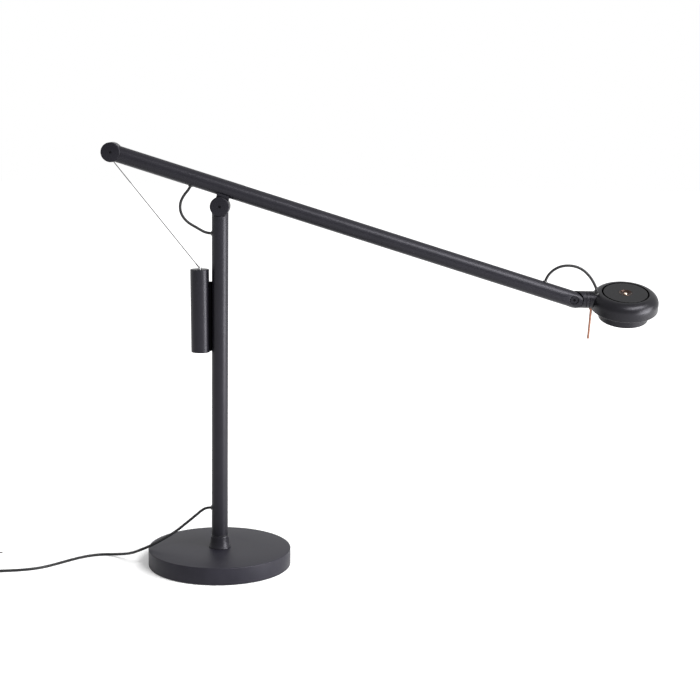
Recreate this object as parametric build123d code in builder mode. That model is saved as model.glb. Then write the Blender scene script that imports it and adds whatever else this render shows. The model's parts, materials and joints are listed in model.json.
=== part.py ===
from build123d import *
from math import atan2, cos, dist, pi, radians, sin, sqrt, tan
import os

os.makedirs("parts", exist_ok=True)

# A desk lamp whose head is balanced by a weight that slides on the post.
# Origin: centre of the base on the table. +X points to the head, +Z is up, and the arm swings in XZ.

# Clearances
running_gap = 0.05          # a pin in its bore, a turning face on its seat
fit_gap = 0.05              # a spigot in a tube, a screw in its hole
moving_gap = 0.35           # pieces of different bodies that only pass each other

# Base and swivel
base_diameter = 180.0
base_height = 22.2
base_edge_round = 1.2
pad_thickness = 0.5
pad_inset = 4.0
recess_radius = 20.0        # under the base, round the swivel nut
recess_depth = 8.0
collar_spigot_radius = 10.0
collar_spigot_depth = 8.0
collar_foot_radius = 13.8
collar_height = 15.8
bush_wall = 1.5
bush_flange = 0.8
spindle_radius = 6.0
spindle_thread_radius = 4.0
spindle_plug_height = 22.0
spindle_washer_radius = 16.0
spindle_washer_thickness = 1.5
spindle_nut_width = 13.0
spindle_nut_height = 5.0

# Post
tube_radius = 10.25
tube_wall = 1.5
slot_width = 4.2
slot_spare_low = 9.0        # of the slot beyond the runner's travel
slot_spare_high = 5.0
cord_hole_height = 73.5
loop_hole_drop = 33.3       # of the upper cord hole below the pivot

# Pivot between post and arm
pivot_height = 454.3
fork_reach = 16.3           # from the pivot down to the post tube's end
fork_spigot = 10.0
barrel_radius = 12.0
barrel_half_length = 10.6
barrel_edge = 1.0
cap_thickness = 2.9
cheek_inner = 4.95
washer_thickness = 0.5
pivot_sleeve_radius = 4.5
pivot_screw_radius = 3.0
hex_socket = 3.0
hex_depth = 2.2

# Arm
arm_tilt = 16.8             # degrees below level towards the head
arm_offset = 22.9           # from the pivot to the arm's axis
tail_distance = 145.2       # from the pivot's foot on the axis to the tail barrel
knuckle_distance = 449.5    # from the pivot's foot on the axis to the head joint
arm_end_length = 15.6       # of the end piece, from the tube to the joint
bracket_length = 15.6
bracket_half_width = 7.0
bracket_screw_spacing = 10.0
bracket_screw_radius = 1.25
spigot_length = 16.0
tail_spigot_length = 24.0
loop_hole_along = -41.8     # where the lower cable loop enters the underside
head_hole_back = 40.3       # from the joint back to where the upper cable loop leaves the top
wire_groove = 3.2
wire_core_radius = 4.2

# Head joint and neck
neck_radius = 10.6
knuckle_round = 10.6
knuckle_hollow = 11.4
knuckle_gap = 0.3
knuckle_screw_radius = 2.5
knuckle_head_radius = 4.6
knuckle_bore_radius = 5.25
neck_reach = 15.07          # from the joint to the neck's shoulder
ring_length = 4.5
neck_spindle_radius = 6.0
neck_spindle_length = 10.6
neck_bearing = 4.0          # length of the head's stub that runs on the spindle
neck_stub_length = 10.2
retainer_radius = 7.4
retainer_thickness = 1.5
head_hole_reach = 27.67     # from the joint to where the upper cable loop enters the stub
head_hole_turn = 33.9       # degrees that this hole leans to the front

# Head
head_setback = 22.12        # from the joint to the head's side
head_turn = 18.9            # degrees that the head's top leans to the front
head_radius = 41.65
head_top = 10.3             # above the neck's axis
head_bottom = -10.7
head_round = 12.2
head_wall = 2.6
plate_radius = 27.2
groove_width = 2.1
groove_depth = 4.6
groove_wall = 0.8           # of the shell under the groove
seal_thickness = 0.6
collar_radius = 30.7
collar_wall = 2.4
collar_bottom = -23.5
diffuser_thickness = 2.0
button_radius = 8.4
button_travel = 0.8
button_dish = 2.2           # depth of the button's hollow
button_stem_radius = 2.4
button_stem_length = 5.5
core_radius = 3.1           # of the bright disc in the button
core_thickness = 0.8
core_pin_radius = 1.2
core_pin_length = 3.0
board_radius = 25.0
board_thickness = 1.6
chip_radius = 7.0
chip_thickness = 1.2
switch_radius = 3.4
lever_radius = 1.5
lever_lean = 0.0            # degrees towards the arm
lever_length = 44.2
lever_reach = 23.1          # from the joint

# Counterweight and its runner
weight_radius = 11.65
weight_length = 103.6
weight_drop = 181.3         # of its lower end below the pivot
weight_travel = 28.0        # up and down
weight_x = -24.1            # its axis at the bottom end
weight_lean = 0.65          # degrees away from the post at the top
runner_rise = 2.0           # of the runner's lower end over the weight's
runner_length = 86.0
runner_screw_inset = 14.0
runner_screw_radius = 1.25
shoe_face = 4.6             # from the post's axis
shoe_width = 10.0
cradle_width = 9.0
anchor_radius = 2.3
wire_radius = 0.5
wire_eye_radius = 1.9
wire_pin_radius = 0.6
wire_pin_rise = 1.2         # of the pin over the weight's top

# Leads
cord_diameter = 3.4
cord_radius = cord_diameter / 2
grommet_radius = 3.1
grommet_proud = 0.9
lead_offset = 3.0
lead_bend = 8.5

# Coil of the spare cord, its tie and the plug
tie_thickness = 0.7
tie_width = 6.0
coil_gap = 0.5              # between layers
coil_pitch = 4.9            # between turns beside each other
coil_half_turns = 6
coil_radius = 23.3
coil_join = (-295.2, -58.3)
coil_heading = (-0.9656, -0.26)
plug_size = (26.0, 38.0, 20.0)
plug_x = -316.0
plug_rear = 17.0
plug_relief = 9.0
plug_pin_radius = 2.4
plug_pin_length = 19.0
plug_pin_spacing = 19.0

# Worked-out values
tube_bore = tube_radius - tube_wall
post_top = pivot_height - fork_reach
loop_hole_height = pivot_height - loop_hole_drop
weight_bottom = pivot_height - weight_drop
runner_bottom = weight_bottom + runner_rise
runner_top = runner_bottom + runner_length
slot_bottom = runner_bottom - weight_travel - slot_spare_low
slot_top = runner_top + weight_travel + slot_spare_high
arm_tube_end = knuckle_distance - arm_end_length
head_hole_along = knuckle_distance - head_hole_back
recess_top = pad_thickness + recess_depth
collar_seat = base_height - collar_spigot_depth
collar_top = base_height + collar_height
post_bottom = collar_top + bush_flange
bush_radius = spindle_radius + running_gap + bush_wall
cap_inner = barrel_half_length - cap_thickness
tongue_half = cheek_inner - washer_thickness - 2 * running_gap
tilt = radians(arm_tilt)
arm_direction = (cos(tilt), 0, -sin(tilt))
arm_up = (sin(tilt), 0, cos(tilt))
arm_frame = Plane((0, 0, pivot_height), x_dir=arm_direction, z_dir=arm_up)


def on_arm(along, up=arm_offset, y=0.0):
    """A point given along the arm, above the pivot and across it."""
    return arm_frame.from_local_coords(Vector(along, y, up))


knuckle = on_arm(knuckle_distance)
neck_height = knuckle.Z
neck_end = knuckle.X + neck_reach
ring_end = neck_end + ring_length
neck_spindle_end = neck_end + neck_spindle_length
neck_stub_end = ring_end + neck_stub_length
head_hole_x = knuckle.X + head_hole_reach
head_x = knuckle.X + head_setback + head_radius
lever_x = knuckle.X + lever_reach
turn = radians(head_turn)
head_frame = Plane((head_x, 0, neck_height), x_dir=(1, 0, 0), z_dir=(0, -sin(turn), cos(turn)))
lean = radians(weight_lean)
weight_axis = Vector(-sin(lean), 0, cos(lean))
weight_frame = Plane((weight_x, 0, weight_bottom), x_dir=(cos(lean), 0, sin(lean)), z_dir=weight_axis)
weight_top = Vector(weight_x, 0, weight_bottom) + weight_axis * weight_length
wire_pin = weight_top + Vector(0, 0, wire_pin_rise)

# Frames whose Z runs along the piece's own axis
post_frame = Plane.XY
along_arm = Plane(on_arm(0), x_dir=(0, 1, 0), z_dir=arm_direction)
along_neck = Plane((0, 0, neck_height), x_dir=(0, 1, 0), z_dir=(1, 0, 0))


def across(point):
    """A frame at the point with its Z along +Y, for pins and barrels."""
    return Plane((point.X, 0, point.Z), x_dir=(1, 0, 0), z_dir=(0, 1, 0))


pivot_frame = across(Vector(0, 0, pivot_height))
tail_frame = across(on_arm(-tail_distance))
knuckle_frame = across(knuckle)


def outline(frame, *points):
    """A closed face of (radius, height) points beside the frame's Z axis."""
    with BuildSketch(Plane(frame.origin, x_dir=frame.x_dir, z_dir=-frame.y_dir)) as face:
        with BuildLine():
            Polyline(*points, close=True)
        make_face()
    return face.sketch


def axis_of(frame):
    return Axis(frame.origin, frame.z_dir)


def rod(frame, radius, low, high):
    """The outline of a plain round bar."""
    return outline(frame, (0, low), (radius, low), (radius, high), (0, high))


def ring(frame, inner, outer, low, high):
    """The outline of a round sleeve."""
    return outline(frame, (inner, low), (outer, low), (outer, high), (inner, high))


def hexagon(frame, height, width):
    """A hexagon across the frame's axis, its width measured over the flats."""
    with BuildSketch(frame.offset(height)) as face:
        RegularPolygon(radius=width / 2, side_count=6, major_radius=False)
    return face.sketch


def save(piece, name):
    piece.part.label = name
    export_step(piece.part, f"parts/{name}.step")


# ---------------------------------------------------------------- base
base_radius = base_diameter / 2
web_bore = spindle_radius + 1.2
with BuildPart() as base_disc:
    revolve(
        outline(
            post_frame,
            (collar_spigot_radius, base_height),
            (base_radius, base_height),
            (base_radius, pad_thickness),
            (recess_radius, pad_thickness),
            (recess_radius, recess_top),
            (web_bore, recess_top),
            (web_bore, collar_seat),
            (collar_spigot_radius, collar_seat),
        ),
        axis=Axis.Z,
    )
    rims = base_disc.edges().filter_by(GeomType.CIRCLE).filter_by(lambda e: abs(e.radius - base_radius) < 0.01)
    fillet(rims.sort_by(Axis.Z)[-1], base_edge_round)
    chamfer(rims.sort_by(Axis.Z)[0], 0.6)
save(base_disc, "base_disc")

with BuildPart() as base_pad:
    revolve(rod(post_frame, base_radius - pad_inset, 0, pad_thickness), axis=Axis.Z)
save(base_pad, "base_pad")

# Bell-shaped foot that screws into the base and carries the swivel bush
collar_shoulder = base_height + 2.9
with BuildPart() as foot_collar:
    revolve(
        outline(
            post_frame,
            (bush_radius + fit_gap, collar_top),
            (tube_radius, collar_top),
            (collar_foot_radius, collar_shoulder),
            (collar_foot_radius, base_height),
            (collar_spigot_radius - fit_gap, base_height),
            (collar_spigot_radius - fit_gap, collar_seat),
            (bush_radius + fit_gap, collar_seat),
        ),
        axis=Axis.Z,
    )
    bell = foot_collar.edges().filter_by(GeomType.CIRCLE)
    fillet(bell.filter_by(lambda e: abs(e.center().Z - collar_shoulder) < 0.01), 3.0)
save(foot_collar, "foot_collar")

with BuildPart() as swivel_bush:
    revolve(
        outline(
            post_frame,
            (spindle_radius + running_gap, collar_seat),
            (bush_radius, collar_seat),
            (bush_radius, collar_top),
            (tube_radius - 0.4, collar_top),
            (tube_radius - 0.4, post_bottom - running_gap),
            (spindle_radius + running_gap, post_bottom - running_gap),
        ),
        axis=Axis.Z,
    )
save(swivel_bush, "swivel_bush")

# ---------------------------------------------------------------- post
washer_top = recess_top - running_gap
nut_top = washer_top - spindle_washer_thickness
nut_bottom = nut_top - spindle_nut_height
plug_top = post_bottom + spindle_plug_height
with BuildPart() as swivel_spindle:
    revolve(
        outline(
            post_frame,
            (0, nut_bottom - 0.8),
            (spindle_thread_radius, nut_bottom - 0.8),
            (spindle_thread_radius, washer_top),
            (spindle_radius, washer_top),
            (spindle_radius, post_bottom),
            (tube_bore - fit_gap, post_bottom),
            (tube_bore - fit_gap, plug_top),
            (0, plug_top),
        ),
        axis=Axis.Z,
    )
save(swivel_spindle, "swivel_spindle")

with BuildPart() as spindle_washer:
    revolve(
        ring(post_frame, spindle_thread_radius + fit_gap, spindle_washer_radius, nut_top, washer_top),
        axis=Axis.Z,
    )
save(spindle_washer, "spindle_washer")

with BuildPart() as spindle_nut:
    extrude(hexagon(post_frame, nut_bottom, spindle_nut_width), amount=spindle_nut_height)
    with Locations((0, 0, nut_bottom)):
        Cylinder(
            spindle_thread_radius + fit_gap,
            spindle_nut_height,
            align=(Align.CENTER, Align.CENTER, Align.MIN),
            mode=Mode.SUBTRACT,
        )
save(spindle_nut, "spindle_nut")

left_side = Plane((-tube_radius, 0, 0), x_dir=(0, -1, 0), z_dir=(-1, 0, 0))
grommet_bore = cord_radius + fit_gap
with BuildPart() as post_tube:
    revolve(ring(post_frame, tube_bore, tube_radius, post_bottom, post_top), axis=Axis.Z)
    with BuildSketch(left_side):
        with Locations((0, (slot_bottom + slot_top) / 2)):
            SlotOverall(slot_top - slot_bottom, slot_width, rotation=90)
        with Locations((0, cord_hole_height), (0, loop_hole_height)):
            Circle(grommet_radius - 0.6)
    extrude(amount=-tube_radius, mode=Mode.SUBTRACT)
save(post_tube, "post_tube")


def grommet(frame):
    """A bush in a tube's wall: a stem through the wall, a flange outside and the lead's bore."""
    flange = grommet_radius
    stem = grommet_radius - 0.6 - fit_gap
    return outline(
        frame,
        (grommet_bore, -tube_wall),
        (stem, -tube_wall),
        (stem, 0.45),
        (flange, 0.45),
        (flange - 0.3, grommet_proud),
        (grommet_bore, grommet_proud),
    )


for name, height in (("cord_grommet", cord_hole_height), ("loop_grommet", loop_hole_height)):
    seat = Plane((-tube_radius, 0, height), x_dir=(0, 1, 0), z_dir=(-1, 0, 0))
    with BuildPart() as bush:
        revolve(grommet(seat), axis=axis_of(seat))
    save(bush, name)

# Fork on top of the post: a spigot, a round neck and two round cheeks
fork_floor = barrel_radius + 0.3
with BuildPart() as post_head:
    revolve(
        outline(
            post_frame,
            (0, post_top - fork_spigot),
            (tube_bore - fit_gap, post_top - fork_spigot),
            (tube_bore - fit_gap, post_top),
            (tube_radius, post_top),
            (tube_radius, pivot_height),
            (0, pivot_height),
        ),
        axis=Axis.Z,
    )
    revolve(rod(pivot_frame, barrel_radius, -cap_inner, cap_inner), axis=axis_of(pivot_frame))
    revolve(
        rod(pivot_frame, fork_floor, -cheek_inner, cheek_inner),
        axis=axis_of(pivot_frame),
        mode=Mode.SUBTRACT,
    )
    for side in (-1, 1):
        with Locations((0, side * (cap_inner + tube_radius) / 2, pivot_height)):
            Box(
                3 * barrel_radius,
                tube_radius - cap_inner + 0.02,
                2 * barrel_radius,
                mode=Mode.SUBTRACT,
            )
    revolve(
        rod(pivot_frame, pivot_sleeve_radius + fit_gap, -barrel_half_length, barrel_half_length),
        axis=axis_of(pivot_frame),
        mode=Mode.SUBTRACT,
    )
save(post_head, "post_head")


def barrel_screw(frame, shank, length):
    """A flat round screw with a hex socket: its head closes the front of a barrel."""
    front = -barrel_half_length
    with BuildPart() as screw:
        revolve(
            outline(
                frame,
                (0, front),
                (barrel_radius - barrel_edge, front),
                (barrel_radius, front + barrel_edge),
                (barrel_radius, -cap_inner),
                (shank, -cap_inner),
                (shank, length),
                (0, length),
            ),
            axis=axis_of(frame),
        )
        extrude(hexagon(frame, front, hex_socket), amount=hex_depth, mode=Mode.SUBTRACT)
    return screw


def barrel_nut(frame, sleeve, bore, reach):
    """The matching rear cap, with the sleeve that the screw enters."""
    rear = barrel_half_length
    with BuildPart() as nut:
        revolve(
            outline(
                frame,
                (0, rear),
                (barrel_radius - barrel_edge, rear),
                (barrel_radius, rear - barrel_edge),
                (barrel_radius, cap_inner),
                (sleeve, cap_inner),
                (sleeve, reach),
                (bore, reach),
                (bore, cap_inner),
                (0, cap_inner),
            ),
            axis=axis_of(frame),
        )
    return nut


save(barrel_screw(pivot_frame, pivot_screw_radius, cap_inner - 1), "pivot_screw")
save(
    barrel_nut(pivot_frame, pivot_sleeve_radius, pivot_screw_radius + fit_gap, -cap_inner + 0.1),
    "pivot_nut",
)

with BuildPart() as pivot_washers:
    for low in (-cheek_inner, cheek_inner - washer_thickness):
        revolve(
            ring(pivot_frame, pivot_sleeve_radius + fit_gap, barrel_radius - 1, low, low + washer_thickness),
            axis=axis_of(pivot_frame),
        )
save(pivot_washers, "pivot_washers")

# ---------------------------------------------------------------- arm
tail_end = -tail_distance
tube_axis = axis_of(along_arm)
with BuildPart() as arm_tube:
    revolve(ring(along_arm, tube_bore, tube_radius, tail_end, arm_tube_end), axis=tube_axis)
    # The tail is coped round its barrel and slit below for the wire
    revolve(
        rod(tail_frame, barrel_radius + fit_gap, -barrel_half_length - 1, barrel_half_length + 1),
        axis=axis_of(tail_frame),
        mode=Mode.SUBTRACT,
    )
    with BuildSketch(Plane(on_arm(tail_end), x_dir=arm_direction, z_dir=tuple(-v for v in arm_up))):
        with Locations((0, 0)):
            Rectangle(2 * (barrel_radius + 3), wire_groove)
        with Locations((tail_distance + loop_hole_along, 0)):
            Circle(grommet_radius - 0.6)
    extrude(amount=2 * tube_radius, mode=Mode.SUBTRACT)
    with BuildSketch(Plane(on_arm(head_hole_along), x_dir=arm_direction, z_dir=arm_up)):
        Circle(grommet_radius - 0.6)
    extrude(amount=2 * tube_radius, mode=Mode.SUBTRACT)
    with BuildSketch(Plane(on_arm(0), x_dir=arm_direction, z_dir=tuple(-v for v in arm_up))):
        with GridLocations(bracket_screw_spacing, 1, 2, 1):
            Circle(bracket_screw_radius + fit_gap)
    extrude(amount=2 * tube_radius, mode=Mode.SUBTRACT)
save(arm_tube, "arm_tube")

under_seat = Plane(
    on_arm(loop_hole_along, arm_offset - tube_radius), x_dir=(0, 1, 0), z_dir=tuple(-v for v in arm_up)
)
over_seat = Plane(on_arm(head_hole_along, arm_offset + tube_radius), x_dir=(0, 1, 0), z_dir=arm_up)
for name, seat in (("tail_grommet", under_seat), ("top_grommet", over_seat)):
    with BuildPart() as bush:
        revolve(grommet(seat), axis=axis_of(seat))
    save(bush, name)

# Bracket: a round tongue in the fork and a saddle under the arm
with BuildPart() as arm_bracket:
    revolve(rod(pivot_frame, barrel_radius, -tongue_half, tongue_half), axis=axis_of(pivot_frame))
    with BuildSketch(arm_frame.offset(2)):
        Rectangle(bracket_length, 2 * tongue_half)
    extrude(amount=arm_offset - 2)
    with BuildSketch(arm_frame.offset(barrel_radius + moving_gap)):
        Rectangle(bracket_length, 2 * bracket_half_width)
    extrude(amount=arm_offset - barrel_radius - moving_gap)
    revolve(
        rod(along_arm, tube_radius + fit_gap, -bracket_length, bracket_length), axis=tube_axis, mode=Mode.SUBTRACT
    )
    revolve(
        rod(pivot_frame, pivot_sleeve_radius + running_gap, -barrel_half_length, barrel_half_length),
        axis=axis_of(pivot_frame),
        mode=Mode.SUBTRACT,
    )
    with BuildSketch(arm_frame.offset(arm_offset)):
        with GridLocations(bracket_screw_spacing, 1, 2, 1):
            Circle(bracket_screw_radius + fit_gap)
    extrude(amount=-(tube_radius + 6), mode=Mode.SUBTRACT)
save(arm_bracket, "arm_bracket")

# A curved plate and two screws inside the tube hold the bracket
clamp_thickness = 2.0
clamp_floor = arm_offset - tube_bore
with BuildPart() as bracket_clamp:
    with BuildSketch(arm_frame.offset(clamp_floor - 1)):
        Rectangle(bracket_length + 6, 8)
    extrude(amount=clamp_thickness + 1)
    with BuildPart(mode=Mode.PRIVATE) as bore:
        revolve(rod(along_arm, tube_bore - fit_gap, -bracket_length, bracket_length), axis=tube_axis)
    add(bore.part, mode=Mode.INTERSECT)
    with BuildSketch(arm_frame.offset(clamp_floor + clamp_thickness)):
        with GridLocations(bracket_screw_spacing, 1, 2, 1):
            Circle(bracket_screw_radius + fit_gap)
    extrude(amount=-6, mode=Mode.SUBTRACT)
save(bracket_clamp, "bracket_clamp")

with BuildPart() as bracket_screws:
    for along in (-bracket_screw_spacing / 2, bracket_screw_spacing / 2):
        seat = Plane(on_arm(along, 0), x_dir=(0, 1, 0), z_dir=arm_up)
        top = clamp_floor + clamp_thickness
        revolve(
            outline(
                seat,
                (0, clamp_floor - 5),
                (bracket_screw_radius, clamp_floor - 5),
                (bracket_screw_radius, top),
                (2.4, top),
                (2.4, top + 1.6),
                (0, top + 1.6),
            ),
            axis=axis_of(seat),
        )
save(bracket_screws, "bracket_screws")

# Cross barrel at the tail, with a spigot into the tube and a groove for the wire
with BuildPart() as tail_barrel:
    revolve(rod(tail_frame, barrel_radius, -cap_inner, cap_inner), axis=axis_of(tail_frame))
    revolve(rod(along_arm, tube_bore - fit_gap, tail_end, tail_end + tail_spigot_length), axis=tube_axis)
    for low, high in ((cap_inner, 2 * cap_inner), (-2 * cap_inner, -cap_inner)):
        revolve(
            rod(tail_frame, barrel_radius + fit_gap, low, high),
            axis=axis_of(tail_frame),
            mode=Mode.SUBTRACT,
        )
    revolve(
        rod(tail_frame, wire_core_radius + fit_gap, -barrel_half_length, barrel_half_length),
        axis=axis_of(tail_frame),
        mode=Mode.SUBTRACT,
    )
    with BuildSketch(Plane(on_arm(tail_end), x_dir=arm_direction, z_dir=(0, -1, 0))):
        Rectangle(4 * barrel_radius, barrel_radius + 4, align=(Align.CENTER, Align.MAX))
        with Locations((0, 3)):
            Rectangle(barrel_radius + 2, 16, align=(Align.MAX, Align.MAX))
        with Locations((barrel_radius + 3, 0)):
            Rectangle(2 * barrel_radius, 4 * barrel_radius, align=(Align.MIN, Align.CENTER), mode=Mode.SUBTRACT)
    extrude(amount=wire_groove / 2, both=True, mode=Mode.SUBTRACT)
save(tail_barrel, "tail_barrel")

save(barrel_screw(tail_frame, 2.5, cap_inner - 1), "tail_screw")
save(barrel_nut(tail_frame, wire_core_radius, 2.5 + fit_gap, -cap_inner + 0.1), "tail_nut")

# ---------------------------------------------------------------- head joint
# Two half-lap ends share one screw. Each is full round up to a hollow that clears the other's rounded end.
joint_axis = axis_of(knuckle_frame)


def half_lap(side):
    """What a knuckle loses: the other half near the joint and the corners of its own."""
    with BuildPart() as waste:
        far = 3 * neck_radius
        low, high = (-knuckle_gap / 2, far) if side < 0 else (-far, knuckle_gap / 2)
        revolve(rod(knuckle_frame, knuckle_hollow, low, high), axis=joint_axis)
    return waste.part


def screw_hole(radius, low, high):
    return rod(knuckle_frame, radius, low, high)


counterbore_floor = -neck_radius + 4.2
with BuildPart() as arm_end:
    revolve(
        rod(along_arm, tube_bore - fit_gap, arm_tube_end - spigot_length, arm_tube_end), axis=tube_axis
    )
    revolve(rod(along_arm, tube_radius, arm_tube_end, knuckle_distance), axis=tube_axis)
    add(half_lap(-1), mode=Mode.SUBTRACT)
    with BuildPart(mode=Mode.PRIVATE) as nose:
        revolve(
            rod(knuckle_frame, knuckle_round, -tube_radius, -knuckle_gap / 2), axis=joint_axis
        )
    with BuildPart(mode=Mode.PRIVATE) as stock:
        revolve(
            rod(along_arm, tube_radius, arm_tube_end, knuckle_distance + 2 * knuckle_round),
            axis=tube_axis,
        )
    add(nose.part & stock.part)
    revolve(screw_hole(knuckle_screw_radius + fit_gap, -20, 0), axis=joint_axis, mode=Mode.SUBTRACT)
    revolve(
        screw_hole(knuckle_bore_radius, -20, counterbore_floor), axis=joint_axis, mode=Mode.SUBTRACT
    )
save(arm_end, "arm_end")

with BuildPart() as neck_knuckle:
    revolve(rod(along_neck, neck_radius, knuckle.X, neck_end), axis=axis_of(along_neck))
    add(half_lap(1), mode=Mode.SUBTRACT)
    with BuildPart(mode=Mode.PRIVATE) as nose:
        revolve(rod(knuckle_frame, knuckle_round, knuckle_gap / 2, neck_radius), axis=joint_axis)
    with BuildPart(mode=Mode.PRIVATE) as stock:
        revolve(
            rod(along_neck, neck_radius, knuckle.X - 2 * knuckle_round, neck_end),
            axis=axis_of(along_neck),
        )
    add(nose.part & stock.part)
    revolve(
        outline(
            along_neck,
            (0, neck_end),
            (neck_spindle_radius, neck_end),
            (neck_spindle_radius, neck_spindle_end),
            (0, neck_spindle_end),
        ),
        axis=axis_of(along_neck),
    )
    revolve(screw_hole(knuckle_screw_radius - 0.1, -1, neck_radius - 2), axis=joint_axis, mode=Mode.SUBTRACT)
save(neck_knuckle, "neck_knuckle")

with BuildPart() as knuckle_screw:
    revolve(
        outline(
            knuckle_frame,
            (0, counterbore_floor - 3.2),
            (knuckle_head_radius, counterbore_floor - 3.2),
            (knuckle_head_radius, counterbore_floor),
            (knuckle_screw_radius, counterbore_floor),
            (knuckle_screw_radius, -knuckle_gap / 2 - 0.05),
            (knuckle_screw_radius - 0.15, -knuckle_gap / 2 - 0.05),
            (knuckle_screw_radius - 0.15, neck_radius - 3),
            (0, neck_radius - 3),
        ),
        axis=joint_axis,
    )
    extrude(hexagon(knuckle_frame, counterbore_floor - 3.2, hex_socket), amount=hex_depth, mode=Mode.SUBTRACT)
save(knuckle_screw, "knuckle_screw")

with BuildPart() as swivel_ring:
    revolve(
        ring(along_neck, neck_spindle_radius + fit_gap, neck_radius, neck_end + 0.3, ring_end - 0.3),
        axis=axis_of(along_neck),
    )
    chamfer(
        swivel_ring.edges().filter_by(GeomType.CIRCLE).filter_by(lambda e: e.radius > neck_radius - 0.1), 0.3
    )
save(swivel_ring, "swivel_ring")

# ---------------------------------------------------------------- head
head_axis = axis_of(head_frame)
groove_radius = plate_radius + groove_width
recess_floor = head_top - groove_depth
shell_inner = head_radius - head_wall
crown = head_round - head_wall
bearing_end = ring_end + neck_bearing
lever_tilt = radians(lever_lean)
lever_root = head_frame.from_local_coords(Vector(lever_x - head_x, 0, 0))
lever_down = head_frame.z_dir * -cos(lever_tilt) + Vector(-sin(lever_tilt), 0, 0)
lever_frame = Plane(lever_root, x_dir=(0, 1, 0), z_dir=lever_down)
hole_turn = radians(head_hole_turn)
hole_out = Vector(0, -sin(hole_turn), cos(hole_turn))


def over_stub(height):
    """A point over the hole where the upper cable loop enters the stub."""
    return Vector(head_hole_x, 0, neck_height) + hole_out * height


head_hole = Plane(over_stub(neck_radius), x_dir=(1, 0, 0), z_dir=hole_out)
with BuildPart() as head_shell:
    with BuildSketch(Plane(head_frame.origin, x_dir=head_frame.x_dir, z_dir=-head_frame.y_dir)):
        with BuildLine():
            Line((0, recess_floor), (groove_radius, recess_floor))
            Line((groove_radius, recess_floor), (groove_radius, head_top))
            Line((groove_radius, head_top), (head_radius - head_round, head_top))
            RadiusArc(
                (head_radius - head_round, head_top), (head_radius, head_top - head_round), head_round
            )
            Line((head_radius, head_top - head_round), (head_radius, head_bottom))
            Line((head_radius, head_bottom), (shell_inner, head_bottom))
            Line((shell_inner, head_bottom), (shell_inner, head_top - head_round))
            RadiusArc(
                (shell_inner, head_top - head_round),
                (shell_inner - crown, recess_floor - groove_wall),
                -crown,
            )
            Line((shell_inner - crown, recess_floor - groove_wall), (0, recess_floor - head_wall))
            Line((0, recess_floor - head_wall), (0, recess_floor))
        make_face()
    revolve(axis=head_axis)
    fillet(
        head_shell.edges()
        .filter_by(GeomType.CIRCLE)
        .filter_by(lambda e: abs(e.radius - head_radius) < 0.01)
        .sort_by(head_axis)[0],
        1.0,
    )
    # The neck stub and the boss that the spindle's retainer bears on
    revolve(rod(along_neck, neck_radius, ring_end, neck_stub_end), axis=axis_of(along_neck))
    revolve(
        rod(along_neck, neck_spindle_radius + running_gap, ring_end - 1, bearing_end + 1),
        axis=axis_of(along_neck),
        mode=Mode.SUBTRACT,
    )
    revolve(
        rod(along_neck, retainer_radius + moving_gap, bearing_end, neck_stub_end + 2),
        axis=axis_of(along_neck),
        mode=Mode.SUBTRACT,
    )
    revolve(
        rod(lever_frame, lever_radius - 0.2 + fit_gap, neck_radius - 2.7, neck_radius + 1),
        axis=axis_of(lever_frame),
        mode=Mode.SUBTRACT,
    )
    revolve(
        rod(head_hole, grommet_radius - 0.6, -4, 2), axis=axis_of(head_hole), mode=Mode.SUBTRACT
    )
    with BuildSketch(head_frame.offset(head_top)):
        Circle(button_stem_radius + groove_wall)
    extrude(amount=-2 * head_top, mode=Mode.SUBTRACT)
save(head_shell, "head_shell")

with BuildPart() as head_grommet:
    revolve(grommet(head_hole), axis=axis_of(head_hole))
save(head_grommet, "head_grommet")

with BuildPart() as neck_retainer:
    stop = bearing_end + running_gap
    revolve(
        ring(along_neck, neck_spindle_radius + fit_gap, retainer_radius, stop, stop + retainer_thickness),
        axis=axis_of(along_neck),
    )
save(neck_retainer, "neck_retainer")

plate_floor = recess_floor + seal_thickness
with BuildPart() as top_plate:
    revolve(
        outline(
            head_frame,
            (button_radius + 0.25, plate_floor),
            (plate_radius - 1.0, plate_floor),
            (plate_radius, plate_floor + 1.0),
            (plate_radius, head_top - 0.3),
            (plate_radius - 0.3, head_top),
            (button_radius + 0.25, head_top),
        ),
        axis=head_axis,
    )
save(top_plate, "top_plate")

with BuildPart() as plate_seal:
    revolve(
        ring(head_frame, button_radius + 3, plate_radius - 3, recess_floor, plate_floor),
        axis=head_axis,
    )
save(plate_seal, "plate_seal")

# Press button: a hollow dark disc with a bright core, on a stem that reaches the switch
button_floor = recess_floor + button_travel + 0.3
dish_floor = head_top - button_dish
core_floor = dish_floor - core_thickness + 0.2
stem_end = button_floor - button_stem_length
with BuildPart() as button:
    revolve(
        outline(
            head_frame,
            (0, core_floor - core_pin_length),
            (core_pin_radius + fit_gap, core_floor - core_pin_length),
            (core_pin_radius + fit_gap, core_floor),
            (core_radius + fit_gap, core_floor),
            (core_radius + fit_gap, dish_floor),
            (button_radius - 0.6, head_top + 0.2),
            (button_radius, head_top),
            (button_radius, button_floor),
            (button_stem_radius, button_floor),
            (button_stem_radius, stem_end),
            (0, stem_end),
        ),
        axis=head_axis,
    )
save(button, "button")

with BuildPart() as button_core:
    revolve(rod(head_frame, core_pin_radius, core_floor - core_pin_length, core_floor), axis=head_axis)
    revolve(rod(head_frame, core_radius, core_floor, core_floor + core_thickness), axis=head_axis)
    fillet(button_core.edges().filter_by(GeomType.CIRCLE).sort_by(head_axis)[-1], 0.5)
save(button_core, "button_core")

board_top = recess_floor - head_wall - 3.4
with BuildPart() as led_board:
    revolve(rod(head_frame, board_radius, board_top - board_thickness, board_top), axis=head_axis)
save(led_board, "led_board")

with BuildPart() as button_switch:
    revolve(
        rod(head_frame, switch_radius, board_top, stem_end - button_travel), axis=head_axis
    )
save(button_switch, "button_switch")

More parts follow.
